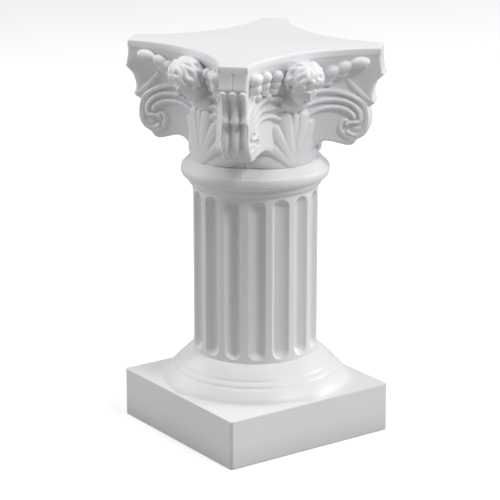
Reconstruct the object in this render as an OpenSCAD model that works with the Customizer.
// Small roman column: square plinth, moulded base, fluted shaft, and a four-horned
// capital with volutes, hanging garlands, leaves and one head on each side.
// Millimetres, +Z up, origin at the middle of the underside of the plinth.
// The two mould halves meet in the vertical plane x = y.

/* [Plinth and base] */
// Side of the square plinth
plinth_w = 33; // [30:0.5:44]
// Height of the square plinth
plinth_h = 8.5; // [6.5:0.1:14]
// Gap between the foot of the base mouldings and the sides of the plinth
base_margin = 0.2; // [0.1:0.05:1.5]
// Height of the base mouldings
base_h = 5.9; // [4.5:0.1:9]

/* [Shaft] */
// Radius over the lands between the flutes
shaft_r = 10.75; // [9.6:0.05:12]
// Height of the fluted shaft, without its ring moulding
shaft_h = 29; // [18:0.5:60]
// Number of flutes
flute_count = 16; // [12:4:20]
// Width of one flute at the surface
flute_w = 2.95; // [1.6:0.05:3.2]
// Depth of one flute
flute_depth = 1.2; // [0.5:0.05:1.3]
// Plain length left above and below each flute
flute_margin = 0.55; // [0.3:0.05:3]
// Greatest radius of the ring moulding above the flutes
neck_r = 12.65; // [12.3:0.05:14]
// Height of the ring moulding
neck_h = 5.1; // [3.5:0.1:7]

/* [Capital] */
// Radius of the bell where it stands on the ring moulding
bell_r = 10.5; // [10:0.05:11.4]
// Radius of the bell under the top plate
bell_top_r = 11.9; // [11.5:0.05:12.6]
// Height of the capital, without the top plate
capital_h = 18.3; // [14:0.1:26]
// Distance from the axis to the tips of the corner horns
horn_r = 22; // [20.5:0.1:25]
// Width of a corner horn at its tip
horn_w = 4.4; // [3.4:0.1:5.4]
// How far the hollow sides sink into the bell at their middle
side_sink = 0.1; // [0.05:0.05:0.5]
// Thickness of the ribbed band on each horn
band_t = 1; // [0.6:0.05:1.4]
// Depth of the grooves between the ribs of that band
band_groove = 0.45; // [0.2:0.05:0.55]
// How far the volute scrolls stand out of the horn
scroll_rise = 0.6; // [0.3:0.05:0.9]
// Width of one rib of a scroll
scroll_rib_w = 0.8; // [0.5:0.05:1]
// Radius of the innermost turn of a scroll, round its eye
scroll_ring_r = 1.45; // [1.2:0.05:1.7]

/* [Top plate] */
// Distance from the axis to the cut corners of the top plate
top_corner_r = 21.4; // [20.5:0.1:24]
// Width of the cut corners
top_corner_w = 4.8; // [3.6:0.1:6]
// How far the top plate stands out over the bell at the middle of its sides
top_overhang = 0.5; // [0.3:0.05:1.2]
// Thickness of the top plate
top_t = 1.2; // [0.8:0.05:2]

/* [Ornament] */
// Half width of a head over the hair
head_r = 3.4; // [2.8:0.05:3.9]
// Half height of a head, crown to chin
head_half_h = 4.35; // [3.8:0.05:4.8]
// Forward lean of a head
head_lean = 28; // [10:1:40]
// Radius of one curl of hair
curl_r = 0.85; // [0.7:0.05:1]
// Radius of the largest berries of a garland
berry_r = 1.1; // [0.8:0.05:1.3]
// Half length of the longest bud of a garland
bud_half_l = 1.4; // [1:0.05:1.8]
// Radius of one finger of a leaf at its widest
finger_r = 1.25; // [0.9:0.05:1.5]

/* [Walls and fits] */
// Wall of the hollow halves
wall = 1.6; // [1.2:0.05:2.2]
// Thickness of the bottom plate
bottom_t = 1.2; // [0.8:0.05:2]
// Rim of the plinth round the bottom plate
bottom_rim = 0.9; // [0.6:0.05:1.1]
// Radius of a locating pin
pin_r = 0.6; // [0.4:0.05:0.8]
// Length of a locating pin beyond the seam
pin_l = 1.5; // [0.8:0.1:2]
// Radius of the boss that holds a pin or its socket
boss_r = 1.5; // [1.2:0.05:1.8]
// Length of that boss on each side of the seam
boss_l = 2.6; // [2.4:0.1:3.4]
// Length of the spigots between base, shaft, capital and top plate
spigot_l = 1.2; // [0.8:0.1:1.8]
// Wall of the spigots
spigot_wall = 1.1; // [0.8:0.05:1.4]
// Clearance round pins and spigots
fit_gap = 0.06; // [0.04:0.01:0.1]

/* [Hidden] */
$fn = 72;
// Facets of the long curves that other pieces are seated on
seat_fn = 360;
// Overrun of every cut past the face that it leaves
cut = 0.5;
// Larger than the whole object, for half spaces
far = 4 * (plinth_w + horn_r);
base_r = plinth_w / 2 - base_margin;
side_r = bell_r - side_sink;
top_side_r = bell_top_r + top_overhang;
base_z = plinth_h;
shaft_z = base_z + base_h;
neck_z = shaft_z + shaft_h;
capital_z = neck_z + neck_h;
top_z = capital_z + capital_h;
shaft_bore = shaft_r - flute_depth - wall;
spigot_r = shaft_bore + spigot_wall;
bell_bore = bell_r - wall;
bell_spigot_r = bell_bore - fit_gap;
plastic = [0.93, 0.93, 0.94];
shade = [0.88, 0.88, 0.9];

FACES = ["front", "right", "back", "left"];
CORNERS = ["front_left", "front_right", "back_right", "back_left"];

// Points of a curve from a to b that bows sideways by sag, without b itself
function bow(a, b, sag, steps) =
    let (d = b - a, side = [-d[1], d[0]] / norm(d))
    [for (i = [0 : steps - 1]) let (t = i / steps) a + d * t + side * 4 * sag * t * (1 - t)];

// Base mouldings

// Radius share between shaft and foot, and height share of the base mouldings
function base_point(r_share, h_share) =
    [shaft_r + (base_r - shaft_r) * r_share, base_z + base_h * h_share];
base_foot_edge_share = 0.08;
base_step_share = [0.62, 0.44];
base_step_top_share = [0.58, 0.48];
base_groove_share = [0.4, 0.66];
base_lip_share = [0.36, 0.68];
lower_flare_sag_share = 0.03;
upper_flare_sag_share = 0.035;

function base_outline() = concat(
    [[0, base_z - cut], [base_r, base_z - cut]],
    bow(base_point(1, base_foot_edge_share), base_point(base_step_share[0], base_step_share[1]),
        base_h * lower_flare_sag_share, 6),
    [base_point(base_step_share[0], base_step_share[1]),
     base_point(base_step_top_share[0], base_step_top_share[1]),
     base_point(base_groove_share[0], base_groove_share[1])],
    bow(base_point(base_lip_share[0], base_lip_share[1]), base_point(0, 1),
        base_h * upper_flare_sag_share, 8),
    [[shaft_r, shaft_z], [0, shaft_z]]);

// Keeps what lies on one side of the seam plane: side is -1 for left, 1 for right
module half(side) {
    intersection() {
        children();
        rotate([0, 0, 45])
            translate([-far / 2, side > 0 ? -far : 0, -far / 2])
                cube([far, far, far]);
    }
}

// Something drawn along +Y, turned square to the seam and moved along it by s and up by z
module across_seam(s, z) {
    rotate([0, 0, 45])
        translate([s, 0, z])
            rotate([90, 0, 0])
                children();
}

// Bosses for the pins, on both sides of the axis at each height
module bosses(s, heights) {
    for (z = heights, place = [-s, s]) across_seam(place, z)
        cylinder(r = boss_r, h = 2 * boss_l, center = true);
}

// The left half carries the pins and the right half the sockets
module pinned(side, s, heights) {
    if (side < 0) {
        union() {
            half(side) children();
            for (z = heights, place = [-s, s]) across_seam(place, z)
                translate([0, 0, -boss_l])
                    cylinder(r = pin_r, h = boss_l + pin_l);
        }
    } else {
        difference() {
            half(side) children();
            for (z = heights, place = [-s, s]) across_seam(place, z)
                translate([0, 0, -cut])
                    cylinder(r = pin_r + fit_gap, h = pin_l + fit_gap + cut);
        }
    }
}

plinth_boss_s = (plinth_w / 2 - wall) * sqrt(2) - boss_r;
plinth_boss_z = bottom_t + boss_r + (plinth_h - wall - bottom_t - 2 * boss_r) / 2;
plinth_inner_w = plinth_w - 2 * wall;
plinth_boss_w = plinth_w - wall;
bottom_recess_w = plinth_w - 2 * bottom_rim;

module base_whole() {
    difference() {
        union() {
            difference() {
                union() {
                    translate([-plinth_w / 2, -plinth_w / 2, 0])
                        cube([plinth_w, plinth_w, plinth_h]);
                    rotate_extrude() polygon(base_outline());
                }
                translate([-plinth_inner_w / 2, -plinth_inner_w / 2, -cut])
                    cube([plinth_inner_w, plinth_inner_w, plinth_h - wall + cut]);
                cylinder(r = shaft_bore, h = shaft_z + cut);
            }
            intersection() {
                bosses(plinth_boss_s, [plinth_boss_z]);
                translate([-plinth_boss_w / 2, -plinth_boss_w / 2, 0])
                    cube([plinth_boss_w, plinth_boss_w, plinth_h]);
            }
        }
        translate([-bottom_recess_w / 2, -bottom_recess_w / 2, -cut])
            cube([bottom_recess_w, bottom_recess_w, bottom_t + cut]);
        translate([0, 0, shaft_z - spigot_l - fit_gap])
            cylinder(r = spigot_r + fit_gap, h = spigot_l + fit_gap + cut);
    }
}

module base_half(side) {
    color(plastic) pinned(side, plinth_boss_s, [plinth_boss_z]) base_whole();
}

module bottom_plate() {
    plate_w = bottom_recess_w - 2 * fit_gap;
    color(shade)
        translate([-plate_w / 2, -plate_w / 2, 0])
            cube([plate_w, plate_w, bottom_t]);
}

// Fluted shaft with its ring moulding

// Circle that cuts a flute of the given width and depth
flute_cut_r = (flute_w * flute_w / 4 + flute_depth * flute_depth) / (2 * flute_depth);
flute_axis_r = shaft_r - flute_depth + flute_cut_r;
// A round flute end reaches this far past the end of its straight stretch at the surface
flute_end_l = flute_w / 2;
flute_low = shaft_z + flute_margin + flute_end_l;
flute_high = neck_z - flute_margin - flute_end_l;

// Radius shares between shaft and ring moulding, and height shares of the moulding
function neck_point(r_share, h_share) =
    [shaft_r + (neck_r - shaft_r) * r_share, neck_z + neck_h * h_share];
neck_fillet_share = [0.3, 0.07];
neck_rim_share = [0.44, 0.12];
neck_rim_top_share = [0.5, 0.19];
neck_band_share = [0.62, 0.23];
neck_shoulder_share = [0.97, 0.43];
neck_edge_share = [1, 0.56];
neck_crease_share = [0.88, 0.73];
neck_top_share = [0.03, 1];
neck_shoulder_sag_share = 0.02;
neck_top_sag_share = 0.06;

function neck_outline() = concat(
    [[0, neck_z - cut], [shaft_r, neck_z - cut], [shaft_r, neck_z],
     neck_point(neck_fillet_share[0], neck_fillet_share[1]),
     neck_point(neck_rim_share[0], neck_rim_share[1]),
     neck_point(neck_rim_top_share[0], neck_rim_top_share[1])],
    bow(neck_point(neck_band_share[0], neck_band_share[1]),
        neck_point(neck_shoulder_share[0], neck_shoulder_share[1]),
        neck_h * neck_shoulder_sag_share, 4),
    [neck_point(neck_shoulder_share[0], neck_shoulder_share[1]),
     neck_point(neck_edge_share[0], neck_edge_share[1])],
    bow(neck_point(neck_crease_share[0], neck_crease_share[1]),
        neck_point(neck_top_share[0], neck_top_share[1]),
        -neck_h * neck_top_sag_share, 10),
    [neck_point(neck_top_share[0], neck_top_share[1]), [0, capital_z]]);

shaft_boss_s = shaft_bore - boss_r / 2;
shaft_boss_share = [0.2, 0.8];
shaft_boss_heights = [for (share = shaft_boss_share) shaft_z + shaft_h * share];

module flute() {
    translate([flute_axis_r, 0, flute_low]) {
        cylinder(r = flute_cut_r, h = flute_high - flute_low);
        sphere(r = flute_cut_r);
        translate([0, 0, flute_high - flute_low]) sphere(r = flute_cut_r);
    }
}

// A land, not a flute, lies on the seam
module shaft_whole() {
    difference() {
        union() {
            translate([0, 0, shaft_z]) cylinder(r = shaft_r, h = shaft_h);
            rotate_extrude() polygon(neck_outline());
        }
        for (i = [0 : flute_count - 1])
            rotate([0, 0, 45 + (i + 1 / 2) * 360 / flute_count]) flute();
    }
    translate([0, 0, shaft_z - spigot_l]) cylinder(r = spigot_r, h = spigot_l + cut);
    translate([0, 0, capital_z - cut]) cylinder(r = bell_spigot_r, h = spigot_l + cut);
}

module shaft_hollow() {
    difference() {
        shaft_whole();
        translate([0, 0, shaft_z - spigot_l - cut])
            cylinder(r = shaft_bore, h = shaft_h + neck_h + 2 * spigot_l + 2 * cut);
    }
    intersection() {
        bosses(shaft_boss_s, shaft_boss_heights);
        cylinder(r = shaft_bore + wall / 2, h = neck_z);
    }
}

module shaft_half(side) {
    color(plastic) pinned(side, shaft_boss_s, shaft_boss_heights) shaft_hollow();
}

// Plan of the capital and of the top plate

// Corner point of the plan, along and across one side, and the radius of the circle through
// two such points that sinks by sag between them
function corner_along(r, w) = (r + w / 2) / sqrt(2);
function corner_across(r, w) = (r - w / 2) / sqrt(2);
function arc_r(half_l, sag) = (half_l * half_l + sag * sag) / (2 * sag);

// Square with cut corners at r, w wide, and four hollow sides, their middles middle_r from
// the axis; grow moves the hollow sides outwards
module plan(r, w, middle_r, grow) {
    half_l = corner_across(r, w);
    out = corner_along(r, w);
    round_r = arc_r(half_l, out - middle_r);
    difference() {
        intersection() {
            square([2 * out + 2 * grow, 2 * out + 2 * grow], center = true);
            rotate([0, 0, 45]) square([2 * r, 2 * r], center = true);
        }
        for (k = [0 : 3])
            rotate([0, 0, 90 * k])
                translate([middle_r + round_r, 0]) circle(r = round_r - grow, $fn = seat_fn);
    }
}

// Horns and bell of the capital

// Outline of a horn in the vertical plane through its corner, in shares of horn_r and
// capital_h: the flat below the top plate, two cusps, the roll of the volute, and the foot
horn_top_share = [0.968, 1];
horn_cusp_share = [1, 0.82];
horn_low_cusp_share = [0.945, 0.54];
horn_notch_share = [0.9, 0.495];
horn_roll_end_share = [0.8, 0.18];
horn_foot_share = [0.792, 0.137];
horn_tip_share = [0.747, 0.115];
horn_arch_share = [0.37, 0.1];
horn_flat_sag_share = 0.02;
horn_hollow_sag_share = 0.058;
horn_roll_sag_share = 0.077;
horn_arch_sag_share = 0.045;

function horn_point(share) = [horn_r * share[0], capital_z + capital_h * share[1]];

// The ribbed band's face, from the upper cusp down to the end of the volute's roll
function band_face(inset) =
    let (shift = [-inset, 0])
    concat(
        bow(horn_point(horn_cusp_share) + shift, horn_point(horn_low_cusp_share) + shift,
            -capital_h * horn_hollow_sag_share, 8),
        [horn_point(horn_low_cusp_share) + shift],
        bow(horn_point(horn_notch_share) + shift, horn_point(horn_roll_end_share) + shift,
            capital_h * horn_roll_sag_share, 10),
        [horn_point(horn_roll_end_share) + shift]);

// The whole outline, with the band's face moved in by inset
function horn_outline(inset) = concat(
    [[0, top_z]],
    bow(horn_point(horn_top_share), horn_point(horn_cusp_share),
        -capital_h * horn_flat_sag_share, 5),
    [horn_point(horn_cusp_share)],
    band_face(inset),
    [horn_point(horn_foot_share)],
    bow(horn_point(horn_tip_share), horn_point(horn_arch_share),
        -capital_h * horn_arch_sag_share, 6),
    [horn_point(horn_arch_share), [horn_point(horn_arch_share)[0], capital_z], [0, capital_z]]);

// A flat shape drawn in the plane through corner k, made square to it
module corner_slab(k, w) {
    rotate([0, 0, 90 * k - 135])
        rotate([90, 0, 0])
            linear_extrude(height = w, center = true) children();
}

module horns(grow) {
    intersection() {
        translate([0, 0, capital_z]) linear_extrude(height = capital_h)
            plan(horn_r, horn_w, side_r, grow);
        intersection_for (pair = [0, 1])
            for (k = [pair, pair + 2])
                corner_slab(k, 2 * horn_r) polygon(horn_outline(band_t));
    }
}

bell_waist_share = 0.55;
bell_flare_sag_share = 0.05;

function bell_outline() = concat(
    [[0, capital_z], [bell_r, capital_z]],
    bow([bell_r, capital_z + capital_h * bell_waist_share], [bell_top_r, top_z],
        -capital_h * bell_flare_sag_share, 6),
    [[bell_top_r, top_z], [0, top_z]]);

module capital_core() {
    rotate_extrude($fn = seat_fn) polygon(bell_outline());
    horns(0);
}

capital_boss_s = bell_bore - boss_r / 2;
capital_boss_z = capital_z + capital_h / 2;

module capital_whole() {
    difference() {
        capital_core();
        translate([0, 0, capital_z - cut]) cylinder(r = bell_bore, h = capital_h + 2 * cut);
    }
    intersection() {
        bosses(capital_boss_s, [capital_boss_z]);
        translate([0, 0, capital_z]) cylinder(r = bell_bore + wall / 2, h = capital_h);
    }
}

module capital_half(side) {
    color(plastic) pinned(side, capital_boss_s, [capital_boss_z]) capital_whole();
}

module top_plate() {
    color(plastic) {
        translate([0, 0, top_z]) linear_extrude(height = top_t)
            plan(top_corner_r, top_corner_w, top_side_r, 0);
        difference() {
            translate([0, 0, top_z - spigot_l])
                cylinder(r = bell_spigot_r, h = spigot_l + cut);
            translate([0, 0, top_z - spigot_l - cut])
                cylinder(r = bell_spigot_r - spigot_wall, h = spigot_l + cut);
        }
    }
}

// Ribbed band over each horn: three ribs on a thinner strip

band_rib_share = 0.26;

module band(k) {
    groove_face = band_face(band_groove);
    face = band_face(0);
    back = band_face(band_t);
    last = len(back) - 1;
    back_up = [for (i = [0 : last]) back[last - i]];
    rib_w = horn_w * band_rib_share;
    color(plastic) {
        corner_slab(k, horn_w) polygon(concat(groove_face, back_up));
        for (i = [-1 : 1])
            rotate([0, 0, 90 * k - 135])
                translate([0, i * (horn_w - rib_w) / 2, 0])
                    rotate([90, 0, 0])
                        linear_extrude(height = rib_w, center = true)
                            polygon(concat(face, back_up));
    }
}

// Volute scrolls on the sides of the horns

scroll_eye_share = [0.78, 0.328];
scroll_eye = horn_point(scroll_eye_share);
scroll_eye_r_share = 0.5;
// Angles round the eye, 0 outwards and 90 up: the ribs leave for the bell at scroll_sweep
scroll_sweep = 155;
scroll_back_turn = 230;
outer_rib_from = -80;
inner_rib_from = 86;
inner_rib_shift_share = -1.45;
scroll_reach_share = 1.077;
scroll_power = 1.6;
scroll_rib_gap_share = 0.56;
scroll_pitch = scroll_rib_w * (1 + scroll_rib_gap_share);
scroll_ground_share = 0.35;
scroll_start_share = 0.3;
// The slanting ridge above the scroll, which leaves the outer rib at ridge_turn
ridge_top_share = [0.748, 0.77];
ridge_turn = 59;
ridge_w_share = 0.75;
turn_step = 9;

// Angles in equal steps of about turn_step, and a list turned round
function turns(from, to) =
    let (steps = ceil((to - from) / turn_step))
    [for (i = [0 : steps]) from + (to - from) * i / steps];
function turned_round(list) = [for (i = [1 : len(list)]) list[len(list) - i]];

// Distance from the eye to the middle rib at an angle
function scroll_radius(angle) =
    scroll_ring_r
        + (scroll_eye[0] - bell_r) * scroll_reach_share
            * pow(max(angle, 0) / scroll_sweep, scroll_power);
function scroll_at(angle, shift) =
    scroll_eye + max(scroll_radius(angle) + shift, scroll_ring_r * scroll_start_share)
        * [cos(angle), sin(angle)];

// What lies along the scroll, from an angle on, between two shifts from the middle rib
module scroll_strip(from, low, high) {
    angles = turns(from, scroll_sweep);
    polygon(concat(
        [for (a = angles) scroll_at(a, high)],
        [for (a = turned_round(angles)) scroll_at(a, low)]));
}

module scroll_rib(from, shift) {
    scroll_strip(from, shift - scroll_rib_w / 2, shift + scroll_rib_w / 2);
}

module scroll_face() {
    scroll_rib(-scroll_back_turn, 0);
    scroll_rib(outer_rib_from, scroll_pitch);
    scroll_rib(inner_rib_from, inner_rib_shift_share * scroll_pitch);
    translate(scroll_eye) circle(r = scroll_ring_r * scroll_eye_r_share);
    ridge_top = horn_point(ridge_top_share);
    ridge_low = scroll_at(ridge_turn, scroll_pitch);
    ridge = ridge_top - ridge_low;
    ridge_side = scroll_rib_w * ridge_w_share / 2 * [ridge[1], -ridge[0]] / norm(ridge);
    polygon([ridge_low - ridge_side, ridge_low + ridge_side,
        ridge_top + ridge_side, ridge_top - ridge_side]);
}

// The low ground that the ribs stand on
module scroll_ground() {
    scroll_strip(0, inner_rib_shift_share * scroll_pitch, scroll_pitch);
    translate(scroll_eye) circle(r = scroll_ring_r + scroll_pitch / 2);
}

// A flat shape pushed through one flank of the horn at corner k, up to rise above the flank
module on_flank(k, turn, rise) {
    intersection() {
        translate([0, 0, capital_z]) linear_extrude(height = capital_h)
            plan(horn_r, horn_w, side_r, rise);
        rotate([0, 0, 90 * k - 135])
            translate([0, turn > 0 ? 0 : -far / 2, 0])
                rotate([90, 0, 0])
                    mirror([0, 0, 1])
                        linear_extrude(height = far / 2)
                            intersection() {
                                children();
                                polygon(horn_outline(0));
                            }
    }
}

// The scroll on the horn at corner k; turn is 1 on the horn's right flank and -1 on its left
module scroll(k, turn) {
    color(plastic)
        difference() {
            union() {
                on_flank(k, turn, scroll_rise) scroll_face();
                on_flank(k, turn, scroll_rise * scroll_ground_share) scroll_ground();
            }
            capital_core();
            rotate([0, 0, 90 * k - 135])
                translate([0, -horn_w / 2, capital_z]) cube([far, horn_w, capital_h]);
        }
}

// Ornament on the four sides

// Draws on side k: x runs along the side, -y points out of it
module on_face(k) {
    rotate([0, 0, 90 * k]) children();
}

// How far out the hollow side of the horns lies at a distance along the side
side_half = corner_across(horn_r, horn_w);
side_round = arc_r(side_half, corner_along(horn_r, horn_w) - side_r);
function side_at(along) =
    side_r + side_round - sqrt(side_round * side_round - along * along);

// A solid of revolution with an oval outline, its long axis along z
oval_steps = 12;

module oval(half_l, r) {
    rotate_extrude()
        polygon([for (i = [0 : oval_steps]) let (a = -90 + 180 * i / oval_steps)
            [r * cos(a), half_l * sin(a)]]);
}

head_z_share = 0.785;
head_out_share = 0.54;
head_z = capital_z + capital_h * head_z_share;
head_out = bell_top_r + head_r * head_out_share;

// Parts of a head: place forwards and radius in shares of head_r, height and half height in
// shares of head_half_h
skull_share = [-0.05, 0.2, 0.84, 0.8];
face_share = [0.24, -0.3, 0.66, 0.7];
nose_share = [0.84, -0.3, 0.2, 0.36];
nose_lean = 14;
nose_bridge_share = 0.4;
// Rows of curls: height as an angle on the skull, number, and angle kept free for the face
curl_rows = [[-42, 9, 75], [-10, 10, 62], [22, 9, 38], [54, 7, 0]];
curl_seat_share = 0.93;

module head_oval(share) {
    translate([0, -head_r * share[0], head_half_h * share[1]])
        oval(head_half_h * share[3], head_r * share[2]);
}

// Skull, face, a wedge of a nose, and curls round the skull
module head_shape() {
    head_oval(skull_share);
    head_oval(face_share);
    translate([0, -head_r * nose_share[0], head_half_h * nose_share[1]])
        rotate([nose_lean, 0, 0])
            cylinder(r1 = head_r * nose_share[2], r2 = head_r * nose_share[2] * nose_bridge_share,
                h = head_half_h * nose_share[3], center = true);
    for (row = curl_rows, i = [0 : row[1] - 1])
        let (turn = (i + 1 / 2) * 360 / row[1])
        if (min(turn, 360 - turn) > row[2])
            translate([0, -head_r * skull_share[0], head_half_h * skull_share[1]])
                rotate([0, 0, turn])
                    translate([0, -head_r * skull_share[2] * cos(row[0]) * curl_seat_share,
                        head_half_h * skull_share[3] * sin(row[0]) * curl_seat_share])
                        sphere(r = curl_r);
}

module head(k) {
    color(plastic)
        difference() {
            on_face(k)
                translate([0, -head_out, head_z])
                    rotate([head_lean, 0, 0]) head_shape();
            capital_core();
            translate([-far / 2, -far / 2, top_z]) cube([far, far, far]);
        }
}

// Leaf: fingers that spread from the foot of the bell, widest near their tips.
// Each row is the lean to the side in degrees round the bell and the tip's height share.
finger_share = [[0, 0.47], [15, 0.44], [24, 0.3], [31, 0.16]];
finger_foot_share = 0.045;
finger_foot_spread_share = 0.3;
finger_root_share = 0.45;
finger_tip_steps = 6;

module finger(spread, tip_share) {
    foot_spread = spread * finger_foot_spread_share;
    foot = [bell_r * sin(foot_spread), -bell_r * cos(foot_spread),
        capital_z + capital_h * finger_foot_share];
    tip = [bell_r * sin(spread), -bell_r * cos(spread),
        capital_z + capital_h * tip_share - finger_r];
    d = tip - foot;
    length = norm(d);
    translate(foot)
        rotate([0, acos(d[2] / length), atan2(d[1], d[0])])
            rotate_extrude()
                polygon(concat(
                    [[0, 0], [finger_r * finger_root_share, 0]],
                    [for (i = [0 : finger_tip_steps]) let (a = 90 * i / finger_tip_steps)
                        [finger_r * cos(a), length + finger_r * sin(a)]]));
}

module leaf(k) {
    color(plastic)
        difference() {
            on_face(k)
                for (side = [-1, 1], share = finger_share)
                    finger(side * share[0], share[1]);
            capital_core();
            translate([-far / 2, -far / 2, capital_z - far]) cube([far, far, far]);
        }
}

// Garland of berries beside the seam: along as a share of the half side, height as a share
// of the capital, radius as a share of the largest berry
berry_share = [
    [0.765, 0.925, 1], [0.73, 0.84, 1],
    [0.56, 0.91, 0.9], [0.55, 0.845, 0.9], [0.54, 0.78, 0.85],
    [0.39, 0.9, 0.9], [0.385, 0.835, 0.9], [0.38, 0.77, 0.85], [0.46, 0.735, 0.7]
];

// Garland of buds away from the seam: along, height, half length and radius shares, slant
bud_share = [
    [0.74, 0.915, 1, 0.62, 78],
    [0.58, 0.895, 0.85, 0.62, 63], [0.575, 0.835, 0.75, 0.5, 73],
    [0.44, 0.875, 0.8, 0.62, 58], [0.45, 0.815, 0.7, 0.5, 68], [0.45, 0.76, 0.6, 0.5, 77]
];
// How far the middles stand outside the hollow side, as shares of the radius
berry_out_share = 0.44;
bud_out_share = 0.35;
head_room_share = 0.6;

// Room for the head between the garlands of one side
module head_room() {
    translate([0, -head_out, head_z])
        rotate([head_lean, 0, 0])
            cylinder(r = head_r + curl_r * head_room_share, h = 3 * head_half_h, center = true);
}

// One berry or bud, its own middle the distance out outside the hollow side of the horn
module garland_at(side, along, high, out) {
    translate([side * along, -side_at(along) - out, capital_z + capital_h * high])
        children();
}

module garland(k, side) {
    berries = (k % 2 == 0) == (side < 0);
    color(plastic)
        difference() {
            on_face(k) {
                if (berries) {
                    for (b = berry_share) let (r = berry_r * b[2])
                        garland_at(side, side_half * b[0], b[1], r * berry_out_share) oval(r, r);
                } else {
                    for (b = bud_share) let (r = bud_half_l * b[3])
                        garland_at(side, side_half * b[0], b[1], r * bud_out_share)
                            rotate([0, side * b[4], 0]) oval(bud_half_l * b[2], r);
                }
            }
            capital_core();
            on_face(k) head_room();
            translate([-far / 2, -far / 2, top_z]) cube([far, far, far]);
        }
}

base_half(-1);  // base_left
base_half(1);  // base_right
shaft_half(-1);  // shaft_left
shaft_half(1);  // shaft_right
capital_half(-1);  // capital_left
capital_half(1);  // capital_right
top_plate();
bottom_plate();
for (k = [0 : 3]) {
    head(k);
    leaf(k);
    band(k);
    garland(k, -1);
    garland(k, 1);
    scroll(k, 1);
    scroll((k + 1) % 4, -1);
}
